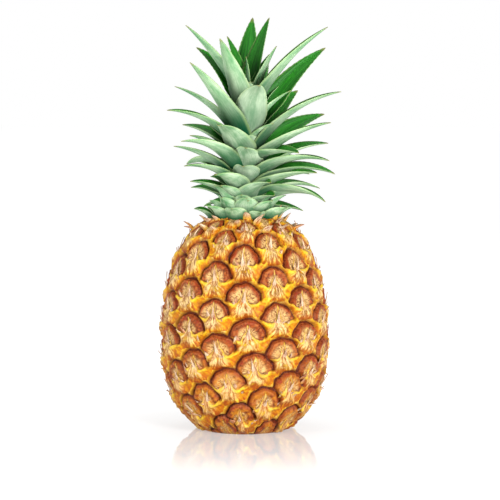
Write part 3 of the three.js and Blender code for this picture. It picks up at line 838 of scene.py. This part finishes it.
# For each leaf, as far as the photo shows them: turn, length, rise, width, droop and facing.
SEEN_LEAVES = {
    0: (25, 21, 45, 25), 1: (-10, 40, 18), 2: (-25, 35, 32), 3: (3, 33, 48, 22), 5: (15, 30, 64, 22),
    6: (-1, 50, 42), 7: (12, 48, 38), 8: (28, 39, 63, 26), 9: (-25, 60, 46), 10: (2, 40, 49),
    11: (10, 65, 36), 13: (2, 46, 57, 24), 14: (12, 55, 56), 15: (-13, 34, 58),
    16: (30, 67, 38, 24, 40), 18: (-2, 52, 60), 19: (2, 70, 51), 20: (21, 48, 54), 21: (8, 34, 68, 26),
    22: (1, 48, 58), 23: (2, 61, 56), 24: (24, 70, 50), 26: (-9, 68, 66), 27: (1, 66, 53),
    28: (1, 58, 39), 29: (-9, 41, 64, 27), 31: (-1, 51, 65), 32: (2, 78, 52, 26, 40),
    34: (5, 72, 62, 31), 35: (1, 75, 56, 24, 40, 40), 36: (2, 60, 62), 37: (12, 58, 28, 26, 35),
    39: (-3, 80, 62), 40: (-3, 89, 67), 41: (2, 62, 53), 42: (2, 24, 74), 43: (-8, 66, 66, 26, 30, 40),
    44: (3, 76, 71), 45: (3, 30, 70, 16), 46: (-6, 89, 72), 47: (-5, 91, 62, 26, 30),
    48: (12, 99, 71, 24, 35, 45), 49: (2, 58, 80, 22), 50: (-7, 69, 73, 30), 51: (14, 91, 79),
    52: (3, 44, 84, 20), 53: (4, 47, 71, 14), 54: (-3, 66, 80, 22), 55: (-8, 88, 68, 27, 25),
    56: (0, 42, 76, 20), 57: (-5, 78, 85, 22, 51, -35), 58: (-20, 36, 84), 59: (6, 100, 68, 26, 15),
    60: (-2, 58, 85, 14), 61: (-13, 94, 69, 29), 62: (-9, 72, 83, 17), 63: (-4, 30, 84),
    64: (1, 50, 80, 16), 65: (3, 84, 67, 26), 66: (1, 55, 84, 12), 67: (-4, 34, 86, 14),
    68: (4, 18, 84, 14), 69: (4, 42, 84, 14), 70: (-3, 30, 84, 14), 71: (-4, 15, 84, 12),
    72: (-21, 67, 80, 24, 12), 73: (3, 31, 93, 10),
}


def along(knots, t):
    """The value at t of a line through (place, value) knots."""
    places, values = np.array(knots, dtype=float).T
    return np.interp(t, places, values)


leaf = np.arange(LEAVES)
leaf_t = leaf / (LEAVES - 1)
leaf_table = np.stack([
    LEAF_UNLIKE["turn"] * draw(leaf, 9),
    along(LEAF_LENGTH, leaf_t) * (1 - LEAF_UNLIKE["length"] * (1 - draw(leaf, 4))),
    along(LEAF_RISE, leaf_t) + LEAF_UNLIKE["rise"] * draw(leaf, 6),
    along(LEAF_WIDTH, leaf_t) * (1 + LEAF_UNLIKE["width"] * draw(leaf, 5)),
    along(LEAF_DROOP, leaf_t) * (1 + LEAF_UNLIKE["droop"] * draw(leaf, 7)),
    FACING_UNLIKE * draw(leaf, 32) + FACING_BY_SIDE * np.sin(np.radians((leaf - FRONT_LEAF) * LEAF_TURN)),
], axis=1)
for k, seen in SEEN_LEAVES.items():
    leaf_table[k, :len(seen)] = seen
leaf_turn, leaf_length, leaf_rise, leaf_width, leaf_droop, leaf_facing = leaf_table.T
leaf_angle = np.radians((leaf - FRONT_LEAF) * LEAF_TURN + leaf_turn)
root_radius = ROOT_SINK * (STEM_RADIUS[0] + (STEM_RADIUS[1] - STEM_RADIUS[0]) * leaf_t)
root_z = STEM_BOTTOM_Z + LOWEST_ROOT + (STEM_HEIGHT - LOWEST_ROOT - TOPMOST_ROOT) * leaf_t**ROOT_POWER
print("leaves", LEAVES, "roots from", round(root_z[0]), "to", round(root_z[-1]), "mm")

# %% Leaf shapes
LEAF_STEPS = 40
ROOT_WIDTH = 0.65
WIDENING = 1.2
POINT_POWER = (1.9, 0.9)
POINT_HALF_WIDTH = 0.12
LEAF_SWAY = 0.045
FACING_SPREAD = 2.5
ROOT_THICK = 1.5
POINT_THICK = 0.15
THICK_POWER = 0.7
LEAF_EDGE = 0.35
TOOTH = 0.3
# The channel's depth, as a share of the blade's width: at the tip, and what the root has more.
CHANNEL_DEPTH = (0.22, 0.1)


def lean_crown(points):
    """The crown leans a little to the right: x grows with the height above the stem's bottom."""
    points = points.copy()
    points[..., 0] += math.tan(math.radians(CROWN_LEAN)) * (points[..., 2] - STEM_BOTTOM_Z)
    return points


def leaf_arrays():
    """The middle line climbs at an angle that falls from rise to rise minus droop. The width swells from the
    root and closes to a point. The face turns a little about the line, and the line sways sideways between
    root and tip."""
    share = np.arange(LEAF_STEPS + 1) / LEAF_STEPS
    slope = np.radians(leaf_rise[:, None] - leaf_droop[:, None] * share[None] ** DROOP_POWER)
    line, sideways, face = climbing_blades(leaf_angle, root_radius, root_z, leaf_length, slope)
    sway = 4 * share * (1 - share) * (LEAF_SWAY * leaf_length * draw(leaf, 31))[:, None]
    line = line + sideways * sway[..., None]
    twist = np.radians(leaf_facing)[:, None] * np.minimum(1, FACING_SPREAD * share)
    side, face = turned(sideways, face, twist)
    swelling = np.minimum(1, ROOT_WIDTH + WIDENING * share)
    closing = (1 - share ** POINT_POWER[0]) ** POINT_POWER[1]
    half = leaf_width[:, None] / 2 * swelling * closing + POINT_HALF_WIDTH
    depth = CHANNEL_DEPTH[0] + CHANNEL_DEPTH[1] * (1 - share) ** 2
    thick = ROOT_THICK * (1 - share) ** THICK_POWER * np.ones((LEAVES, 1)) + POINT_THICK
    channel = 2 * half * depth
    return blade_arrays(lean_crown(line), side, face, half, channel, thick, LEAF_EDGE, TOOTH)


# %% [markdown]
# ## Leaf material
# The outside of a leaf is pale: a waxy bloom over grey-green, deeper at its foot, where the leaves shade each
# other. The inside is a clear, dark green. Fine lines run along the blade, the edge is a paler yellow-green,
# and the last few millimetres are dry and tan. All of it reads the blade's own numbers, so that lines and
# edges follow each leaf's bend.

# %% Leaf material
def outer_colour(f, bloom, lines, share, shade):
    """Pale green that darkens towards the tip, with painted shade at the foot. Leaves at the left, with a
    large shade, get painted shade and are greyer; those at the front, with a small one, get a painted
    highlight and are paler."""
    outside = f.mix(bloom, tint(96, 168, 106), tint(230, 255, 214))
    outside = f.over(outside, tint(78, 146, 84), f.rise(lines, 0.42, 0.64), 0.45)
    outside = f.over(outside, tint(74, 146, 74), f.rise(share, 0.6, 0.95), 0.5)
    # Painted shade: leaves that face left are greyer.
    outside = f.over(outside, tint(96, 150, 104), f.rise(shade, 0.95, 1.3), 0.35)
    # Painted highlight: leaves that face the front are paler.
    outside = f.over(outside, tint(242, 255, 232), f.rise(shade, 0.7, 0.5), 0.3)
    # Painted shade at the leaf's foot, where the leaves above shade it; shade sets how far it reaches.
    deep = f.sum("MULTIPLY", f.rise(share, 0.7, 0.1), shade, clamp=True)
    return f.mix(deep, outside, tint(10, 84, 50))


def inner_colour(f, bloom, lines, share):
    """Dark green with brighter lines, darkest at the foot with painted shade, under a trace of bloom."""
    inside = f.mix(f.rise(lines, 0.36, 0.66), tint(2, 78, 6), tint(48, 156, 28))
    # Painted shade at the foot of the leaf's inside.
    inside = f.over(inside, tint(2, 44, 8), f.rise(share, 0.55, 0.1), 0.85)
    return f.over(inside, tint(110, 168, 110), bloom, 0.06)


def make_leaf_finish():
    """w across, the share along and the side of the blade come with the mesh."""
    f = Finish("crown_leaf")
    w, share, inner = f.numbers("blade")
    who, shade, _ = f.numbers("which")
    _, here = f.place()
    lines = f.noise(f.vector(f.times(w, 9.0), f.times(share, 0.9), who), 2.4, 4, 0.75)
    broad = f.noise(f.vector(f.times(w, 1.3), f.times(share, 3.0), who), 1.1, 3, 0.6)
    dust = f.noise(here, 420, 4, 0.65)
    bloom = f.rise(f.plus(broad, f.swing(dust, 0.15)), 0.2, 0.75)
    outside = outer_colour(f, bloom, lines, share, shade)
    inside = inner_colour(f, bloom, lines, share)
    colour = f.mix(f.rise(inner, 0.35, 0.65), outside, inside)
    colour = f.over(colour, tint(204, 228, 150), f.rise(f.sum("ABSOLUTE", w), 0.84, 0.98), 0.32)
    dry = f.rise(f.plus(share, f.swing(lines, 0.12)), 0.93, 1.0)
    colour = f.over(colour, tint(150, 138, 80), dry, 0.75)
    f.put(colour, f.shader.inputs["Base Color"])
    f.put(f.sum("MULTIPLY_ADD", bloom, 0.2, 0.4), f.shader.inputs["Roughness"])
    f.shader.inputs["Specular IOR Level"].default_value = 0.2
    f.bump(f.sum("MULTIPLY_ADD", dust, 0.3, lines), 0.35, 0.3)
    return f.material


# %% Crown leaves
FULL_SHADE = 0.92
SHADE_UNLIKE = 0.07
SHADE_BY_SIDE = 0.4

leaf_finish = make_leaf_finish()
facing_front = np.maximum(0, np.cos(leaf_angle))
facing_left = np.maximum(0, -np.sin(leaf_angle))
# Each leaf's painted light: more painted shade for leaves facing left, a painted highlight for leaves facing
# the front, and a little at random.
leaf_shade = FULL_SHADE + SHADE_UNLIKE * draw(leaf, 33) + SHADE_BY_SIDE * (facing_left - facing_front**2)
leaf_which = np.stack([leaf * 1.7, leaf_shade, leaf * 0.0], axis=1)
add_blades("crown_leaves", leaf_arrays(), leaf_which, leaf_finish, ("crown",))

# %% [markdown]
# ## Crown stem
# The leaves hide nearly all of the stem. It is a tapering post with eight faint ribs, rounded at the top. A
# cone from the Add menu would be nearly right, but the ribs and the crown's lean are easier on a ring grid.

# %% Crown stem
STEM_COLUMNS = 32
STEM_ROWS = 14
STEM_SINK = 2
STEM_RIBS = 8
RIB_DEPTH = 0.04
STEM_ROUNDING = 0.97

stem_share = np.linspace(0, 1, STEM_ROWS)
stem_taper = STEM_RADIUS[0] + (STEM_RADIUS[1] - STEM_RADIUS[0]) * stem_share
stem_r = stem_taper * np.sqrt(1 - stem_share**8 * STEM_ROUNDING)
stem_z = STEM_BOTTOM_Z - STEM_SINK + (STEM_HEIGHT + STEM_SINK) * stem_share
stem_turn = np.arange(STEM_COLUMNS) * 2 * math.pi / STEM_COLUMNS
ribbed_r = stem_r[:, None] * (1 + RIB_DEPTH * np.sin(STEM_RIBS * stem_turn))
stem_x = ribbed_r * np.sin(stem_turn)
stem_y = -ribbed_r * np.cos(stem_turn)
stem_rings = np.stack([stem_x, stem_y, np.broadcast_to(stem_z[:, None], stem_x.shape)], axis=-1)
stem_ends = lean_crown(np.array([[0, 0, stem_z[0]], [0, 0, stem_z[-1]]]))
stem_points, stem_quads, stem_fans = capped_rings(lean_crown(stem_rings), *stem_ends)


def make_stem_finish():
    """Pale green with a brown shade near the fruit."""
    f = Finish("crown_stem")
    (_, _, z), here = f.place()
    cloud = f.noise(here, 160, 4)
    colour = f.mix(cloud, tint(96, 130, 70), tint(150, 170, 100))
    colour = f.mix(f.rise(z, 0.190, 0.172), colour, tint(150, 110, 50))
    f.put(colour, f.shader.inputs["Base Color"])
    f.shader.inputs["Roughness"].default_value = 0.7
    f.bump(cloud, 0.4, 0.5)
    return f.material


add_piece("crown_stem", stem_points, stem_quads, make_stem_finish(), (), stem_fans)

# %% [markdown]
# ## Papery tips on the eyes
# Each bract ends in a dry, pointed tip that climbs over its cap. It is broad and flat where it leaves the
# bract, then a narrow spike that stands a little off the skin, with torn shards beside it. Hair strands would
# be too thin and round for them, so they are blades, like the leaves, set into the skin by their roots.

# %% Tip shapes
TIP_STATIONS = 14
TIP_LIFT_POWER = 1.6
TIP_HEIGHT = 0.9
TIP_ROOT_SINK = 1.4
TIP_ROLL = 14
TIP_THICK = 0.4
TIP_EDGE = 0.22
TIP_HOLLOW = -0.35
SMALLEST_TIP = 0.5
# How much of a tip's width falls fast, to a spike, and how much falls slowly.
TIP_SPIKE_PARTS = (0.86, 0.14)
TIP_POINT_HALF_WIDTH = 0.1
# How the barrel bends from top to bottom: the radius, in millimetres, of a circle that follows its side.
SIDE_BEND_RADIUS = 75


def skin_frame(n):
    """For eyes n: centre on the barrel, the directions out, up and right there, and the barrel's radius."""
    angle, count = eye_centre(n)
    angle = np.radians(angle)
    r, z, out_r, out_z = outline_at(count)
    round_x = np.sin(angle)
    round_y = -np.cos(angle)
    centre = np.stack([r * round_x, r * round_y, z], axis=1)
    out = np.stack([out_r * round_x, out_r * round_y, out_z], axis=1)
    right = np.stack([np.cos(angle), np.sin(angle), np.zeros_like(angle)], axis=1)
    return centre, out, np.cross(out, right), right, r


def tip_arrays(n, root_p, root_q, turn, length, width, lift, spike, bend):
    """The line starts at (root_p, root_q) from the eye's centre, runs along the skin for its length, turned
    from straight up. It lifts off by lift x share to the power 1.6 and a small height, less what its root
    sinks into the skin. The width falls to a spike."""
    centre, out, straight_up, to_right, r = skin_frame(n)
    cos_turn = np.cos(np.radians(turn))[:, None]
    sin_turn = np.sin(np.radians(turn))[:, None]
    up = straight_up * cos_turn + to_right * sin_turn
    right = to_right * cos_turn - straight_up * sin_turn
    size = np.clip(r / FULL_EYE_RADIUS, SMALLEST_TIP, 1)[:, None]
    share = np.linspace(0, 1, TIP_STATIONS)[None]
    start = (root_p[:, None] * to_right + root_q[:, None] * straight_up) * size
    climb = length[:, None] * share * size
    away = lift[:, None] * share**TIP_LIFT_POWER + TIP_HEIGHT - TIP_ROOT_SINK * (1 - share) ** 2
    across = bend[:, None] * share**2
    line = (centre + start)[:, None] + up[:, None] * climb[..., None] + right[:, None] * across[..., None]
    # The barrel curves away under a straight line, so the line is pulled in by half the squared distance from
    # the eye's centre over the radius.
    from_centre = line - centre[:, None]
    sideways = np.sum(from_centre * to_right[:, None], axis=-1)
    upwards = np.sum(from_centre * straight_up[:, None], axis=-1)
    sink = upwards**2 / (2 * SIDE_BEND_RADIUS) + sideways**2 / (2 * r[:, None])
    line = line + out[:, None] * (away - sink)[..., None]
    tangent = unit(np.gradient(line, axis=1))
    roll = np.radians(TIP_ROLL * draw(n, 41))[:, None, None] * share[..., None]
    side = unit(right[:, None] * np.cos(roll) + out[:, None] * np.sin(roll))
    face = unit(np.cross(side, tangent))
    fast, slow = TIP_SPIKE_PARTS
    narrowing = (1 - share) ** spike[:, None] * fast + slow * (1 - share**2)
    half = width[:, None] / 2 * narrowing * size + TIP_POINT_HALF_WIDTH
    return blade_arrays(line, side, face, half, TIP_HOLLOW * half, np.full_like(half, TIP_THICK), TIP_EDGE)


# %% Middle tips
# The topmost eyes carry collar bracts instead, and the lowest ones, round the base, have no tip.
FIRST_TIP_EYE = 8
EYES_LEFT_BARE_BELOW = 6

tip_eyes = np.arange(FIRST_TIP_EYE, eye_count - EYES_LEFT_BARE_BELOW)
middle_tips = tip_arrays(
    tip_eyes,
    root_p=0.8 * draw(tip_eyes, 40),
    root_q=-7.5 + 0.8 * draw(tip_eyes, 42),
    turn=9 * draw(tip_eyes, 39),
    length=16.0 + 3.0 * draw(tip_eyes, 43),
    width=8.5 + 1.5 * draw(tip_eyes, 44),
    lift=2.6 + 1.4 * draw(tip_eyes, 45),
    spike=2.2 + 0.5 * draw(tip_eyes, 46),
    bend=2.4 * draw(tip_eyes, 47),
)
print("middle tips", len(tip_eyes))

# %% Torn shards
# Beside the middle tip stand torn shards: three to an eye, at random places on the bract's upper edge.
SHARDS = 3

shard_eyes = np.repeat(tip_eyes, SHARDS)
shard = np.arange(len(shard_eyes))
shard_side = np.where(shard % 2 == 0, 1, -1)
shards = tip_arrays(
    shard_eyes,
    root_p=shard_side * (5.5 + 3.5 * draw(shard, 61)),
    root_q=-6.5 + 3.0 * draw(shard, 62),
    turn=shard_side * (10 + 26 * draw(shard, 63)),
    length=6.5 + 2.5 * draw(shard, 64),
    width=4.5 + 1.8 * draw(shard, 65),
    lift=2.2 + 1.6 * draw(shard, 66),
    spike=1.2 + 0.4 * draw(shard, 67),
    bend=1.6 * draw(shard, 68),
)
print("shards", len(shard))

# %% Tip material
def make_tip_finish():
    """Pinkish cream with brown lines along it, yellower at its root, darker at its point."""
    f = Finish("bract_tip")
    w, share, _ = f.numbers("blade")
    who, dryness, rust = f.numbers("which")
    lines = f.noise(f.vector(f.times(w, 3.0), f.times(share, 1.2), who), 2.0, 4, 0.75)
    paper = f.mix(f.rise(lines, 0.38, 0.58), tint(134, 64, 32), tint(255, 226, 190))
    flesh = f.mix(f.rise(lines, 0.36, 0.6), tint(206, 118, 14), tint(246, 198, 54))
    dried = f.plus(share, f.times(dryness, 0.5))
    colour = f.over(paper, flesh, f.rise(dried, 0.85, 0.3), 0.9)
    colour = f.over(colour, tint(140, 84, 48), f.rise(share, 0.75, 1.0), 0.6)
    colour = f.over(colour, tint(190, 92, 34), rust, 0.6)
    f.put(colour, f.shader.inputs["Base Color"])
    f.shader.inputs["Roughness"].default_value = 0.7
    f.shader.inputs["Specular IOR Level"].default_value = 0.12
    f.bump(lines, 0.5, 0.3)
    return f.material


tip_finish = make_tip_finish()
tip_which = np.stack([tip_eyes * 2.3, 0.9 + 0.1 * draw(tip_eyes, 48), tip_eyes * 0.0], axis=1)
add_blades("bract_tips", middle_tips, tip_which, tip_finish)
shard_rust = np.maximum(0, draw(shard, 70))
shard_which = np.stack([shard * 1.7, 0.6 + 0.4 * draw(shard, 69), shard_rust], axis=1)
add_blades("bract_shards", shards, shard_which, tip_finish)

# %% [markdown]
# ## Foot of the crown
# Round the foot of the crown stand short, broad green scales, and outside them the dry bracts of the topmost
# eyes: yellow at the root, papery at the tip, no two alike. They could be placed one by one. Both kinds stand
# in rings on the top of the fruit, so one rule makes them, and only its numbers differ.

# %% Blades in rings
RING_STATIONS = 14
RING_TURN = 0.382
ROOT_UNDER_SKIN = 2
RING_HOLLOW = 0.5
RING_POINT_HALF_WIDTH = 0.12
RING_ROOT_THICK = 0.9
RING_POINT_THICK = 0.2
# How far a blade's measures differ where unlike is 1, in millimetres, radians and degrees.
FULLY_UNLIKE = {"radius": 4, "angle": 0.6, "rise": 40, "sway": 10, "twist": 90}


def ring_blades(rings, length, width, rise, droop, unlike, salt):
    """rings lists (distance from the axis, number of blades). Length, width and rise are lines through
    (distance, value) knots. A blade climbs at an angle that falls from rise to rise minus droop, as a leaf
    does, from a root 2 mm under the skin. Each measure differs by up to the share unlike."""
    ring = np.concatenate([np.full(count, i) for i, (_, count) in enumerate(rings)])
    place = np.concatenate([np.arange(count) / count for _, count in rings])
    n = np.arange(len(ring))
    radius = np.array([r for r, _ in rings])[ring] + FULLY_UNLIKE["radius"] * unlike * draw(n, salt)
    angle = 2 * math.pi * (place + RING_TURN * ring) + FULLY_UNLIKE["angle"] * unlike * draw(n, salt + 1)
    above_middle = outline_z > WIDEST_Z
    z = np.interp(radius, outline_r[above_middle], outline_z[above_middle]) - ROOT_UNDER_SKIN
    lengths = along(length, radius) * (1 + unlike * draw(n, salt + 2))
    widths = along(width, radius) * (1 + unlike * draw(n, salt + 3))
    rises = along(rise, radius) + FULLY_UNLIKE["rise"] * unlike * draw(n, salt + 4)
    droops = droop * (1 + unlike * draw(n, salt + 5))
    share = np.linspace(0, 1, RING_STATIONS)
    slope = np.radians(rises[:, None] - droops[:, None] * share)
    line, sideways, face = climbing_blades(angle, radius, z, lengths, slope)
    sway = FULLY_UNLIKE["sway"] * unlike * draw(n, salt + 6)
    line = line + sideways * (sway[:, None] * share**2)[..., None]
    twist = np.radians(FULLY_UNLIKE["twist"] * unlike * draw(n, salt + 7))[:, None] * share
    side, face = turned(sideways, face, twist)
    half = widths[:, None] / 2 * (1 - share**1.6) * (0.8 + 0.5 * share) + RING_POINT_HALF_WIDTH
    thick = RING_ROOT_THICK * (1 - share) * np.ones_like(half) + RING_POINT_THICK
    return blade_arrays(line, side, face, half, RING_HOLLOW * half, thick, TIP_EDGE), n


# %% Green scales
scales, n = ring_blades(
    rings=((13, 6), (19, 8), (26, 10)),
    length=((13, 25), (19, 20), (25, 17)),
    width=((13, 25), (25, 22)),
    rise=((13, 84), (26, 66)),
    droop=48,
    unlike=0.18,
    salt=71,
)
scale_which = np.stack([n * 3.7, np.full(len(n), 1.0), n * 0.0], axis=1)
add_blades("foot_scales", scales, scale_which, leaf_finish)

# %% Collar bracts
collar, n = ring_blades(
    rings=((28, 7), (32, 9), (38, 13)),
    length=((28, 11), (32, 10), (39, 9)),
    width=((28, 9), (39, 8)),
    rise=((28, 70), (32, 60), (39, 42)),
    droop=20,
    unlike=0.4,
    salt=81,
)
collar_which = np.stack([n * 2.9, 0.4 + 0.5 * draw(n, 59), np.maximum(0, draw(n, 60))], axis=1)
add_blades("collar_bracts", collar, collar_which, tip_finish)

# %% [markdown]
# ## Stalk
# The stalk was cut off level with the base, so its face shows dry fibres and pores. The plain model's disc
# already has the right shape, and only its finish is made here.

# %% Stalk material
def make_stalk_finish():
    """Tan with darker pores, and a brown rim by the distance from the axis."""
    f = Finish("stalk_cut")
    (x, y, _), here = f.place()
    pores = f.noise(here, 1400, 3, 0.6)
    colour = f.mix(f.noise(here, 220, 3), tint(176, 144, 96), tint(214, 186, 134))
    colour = f.mix(f.rise(pores, 0.56, 0.68), colour, tint(120, 84, 48))
    colour = f.mix(f.rise(f.length(x, y), 0.0085, 0.0115), colour, tint(134, 92, 48))
    f.put(colour, f.shader.inputs["Base Color"])
    f.shader.inputs["Roughness"].default_value = 0.85
    f.bump(pores, 0.6, 0.4)
    return f.material


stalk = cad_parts["stalk"]
stalk.data.materials.clear()
stalk.data.materials.append(make_stalk_finish())
print("stalk keeps the solid model's shape")

# %% [markdown]
# ## Floor
# The fruit stands on glossy white, where it mirrors softly below itself, and the mirror image fades out. A
# plain glossy sheet would show a grey band where the floor meets the room. So the floor glows a little by
# itself, and farther out it glows more and mirrors less, until it looks like the white room.

# %% Floor
FLOOR_SIZE = 80.0
FLOOR_WHITE = 0.45
NEAR_FLOOR = 0.07
FAR_FLOOR = 0.3

floor_mesh = bpy.data.meshes.new("floor")
half_floor = FLOOR_SIZE / 2
floor_corners = [(x * half_floor, y * half_floor, 0) for x, y in ((-1, -1), (1, -1), (1, 1), (-1, 1))]
floor_mesh.from_pydata(floor_corners, [], [(0, 1, 2, 3)])
floor = bpy.data.objects.new("floor", floor_mesh)
bpy.context.collection.objects.link(floor)


def make_floor_finish():
    """far rises from 0 to 1 between 7 and 30 cm from the fruit's axis. With it the floor grows rougher, the
    mirror image fades and the glow grows."""
    f = Finish("floor_white")
    f.shader.inputs["Base Color"].default_value = (FLOOR_WHITE, FLOOR_WHITE, FLOOR_WHITE, 1)
    f.shader.inputs["Emission Color"].default_value = (1, 1, 1, 1)
    (x, y, _), _ = f.place()
    far = f.rise(f.length(x, y), NEAR_FLOOR, FAR_FLOOR)
    f.put(f.sum("MULTIPLY_ADD", far, 0.2, 0.03), f.shader.inputs["Roughness"])
    f.put(f.sum("MULTIPLY_ADD", far, -0.5, 0.5), f.shader.inputs["Specular IOR Level"])
    f.put(f.sum("MULTIPLY_ADD", far, 0.46, 0.32), f.shader.inputs["Emission Strength"])
    return f.material


floor_mesh.materials.append(make_floor_finish())
print("floor", FLOOR_SIZE, "m wide")

# %% [markdown]
# ## Light
# The light is soft and comes from all round, as in a white studio: a world that is white at the horizon and
# dimmer overhead. One lamp from the right gives the skin its shape, a weaker one fills the left side, and a
# faint one from above lights the crown. A sun lamp would cast hard shadows that the photo doesn't have.

# %% Light
LOW_SKY = 0.2
HIGH_SKY = 0.6
OVERHEAD_LIGHT = 0.4
LAMP_AIM = Vector((0, 0, 0.16))
LAMPS = {
    "lamp_right": {"place": (0.8, -1.3, 0.45), "size": 0.45, "power": 34},
    "lamp_left": {"place": (-1.2, -0.8, 0.35), "size": 0.6, "power": 15},
    "lamp_top": {"place": (0.0, 0.4, 1.4), "size": 0.8, "power": 6},
}

world = bpy.data.worlds.new("room")
bpy.context.scene.world = world
world.use_nodes = True
room = world.node_tree
background = room.nodes["Background"]
background.inputs["Strength"].default_value = 1.0
direction = room.nodes.new("ShaderNodeTexCoord")
parts = room.nodes.new("ShaderNodeSeparateXYZ")
dimming = room.nodes.new("ShaderNodeMapRange")
dimming.inputs["From Min"].default_value = LOW_SKY
dimming.inputs["From Max"].default_value = HIGH_SKY
dimming.inputs["To Min"].default_value = 1.0
dimming.inputs["To Max"].default_value = OVERHEAD_LIGHT
room.links.new(direction.outputs["Generated"], parts.inputs[0])
room.links.new(parts.outputs["Z"], dimming.inputs["Value"])
room.links.new(dimming.outputs["Result"], background.inputs["Color"])


def add_lamp(name, place, size, power):
    """A square soft lamp at a place in metres, turned towards the fruit's middle."""
    data = bpy.data.lights.new(name, "AREA")
    data.size = size
    data.energy = power
    lamp = bpy.data.objects.new(name, data)
    bpy.context.collection.objects.link(lamp)
    lamp.location = place
    lamp.rotation_euler = (LAMP_AIM - Vector(place)).to_track_quat("-Z", "Y").to_euler()


for name, lamp in LAMPS.items():
    add_lamp(name, **lamp)
print("lamps", len(LAMPS))
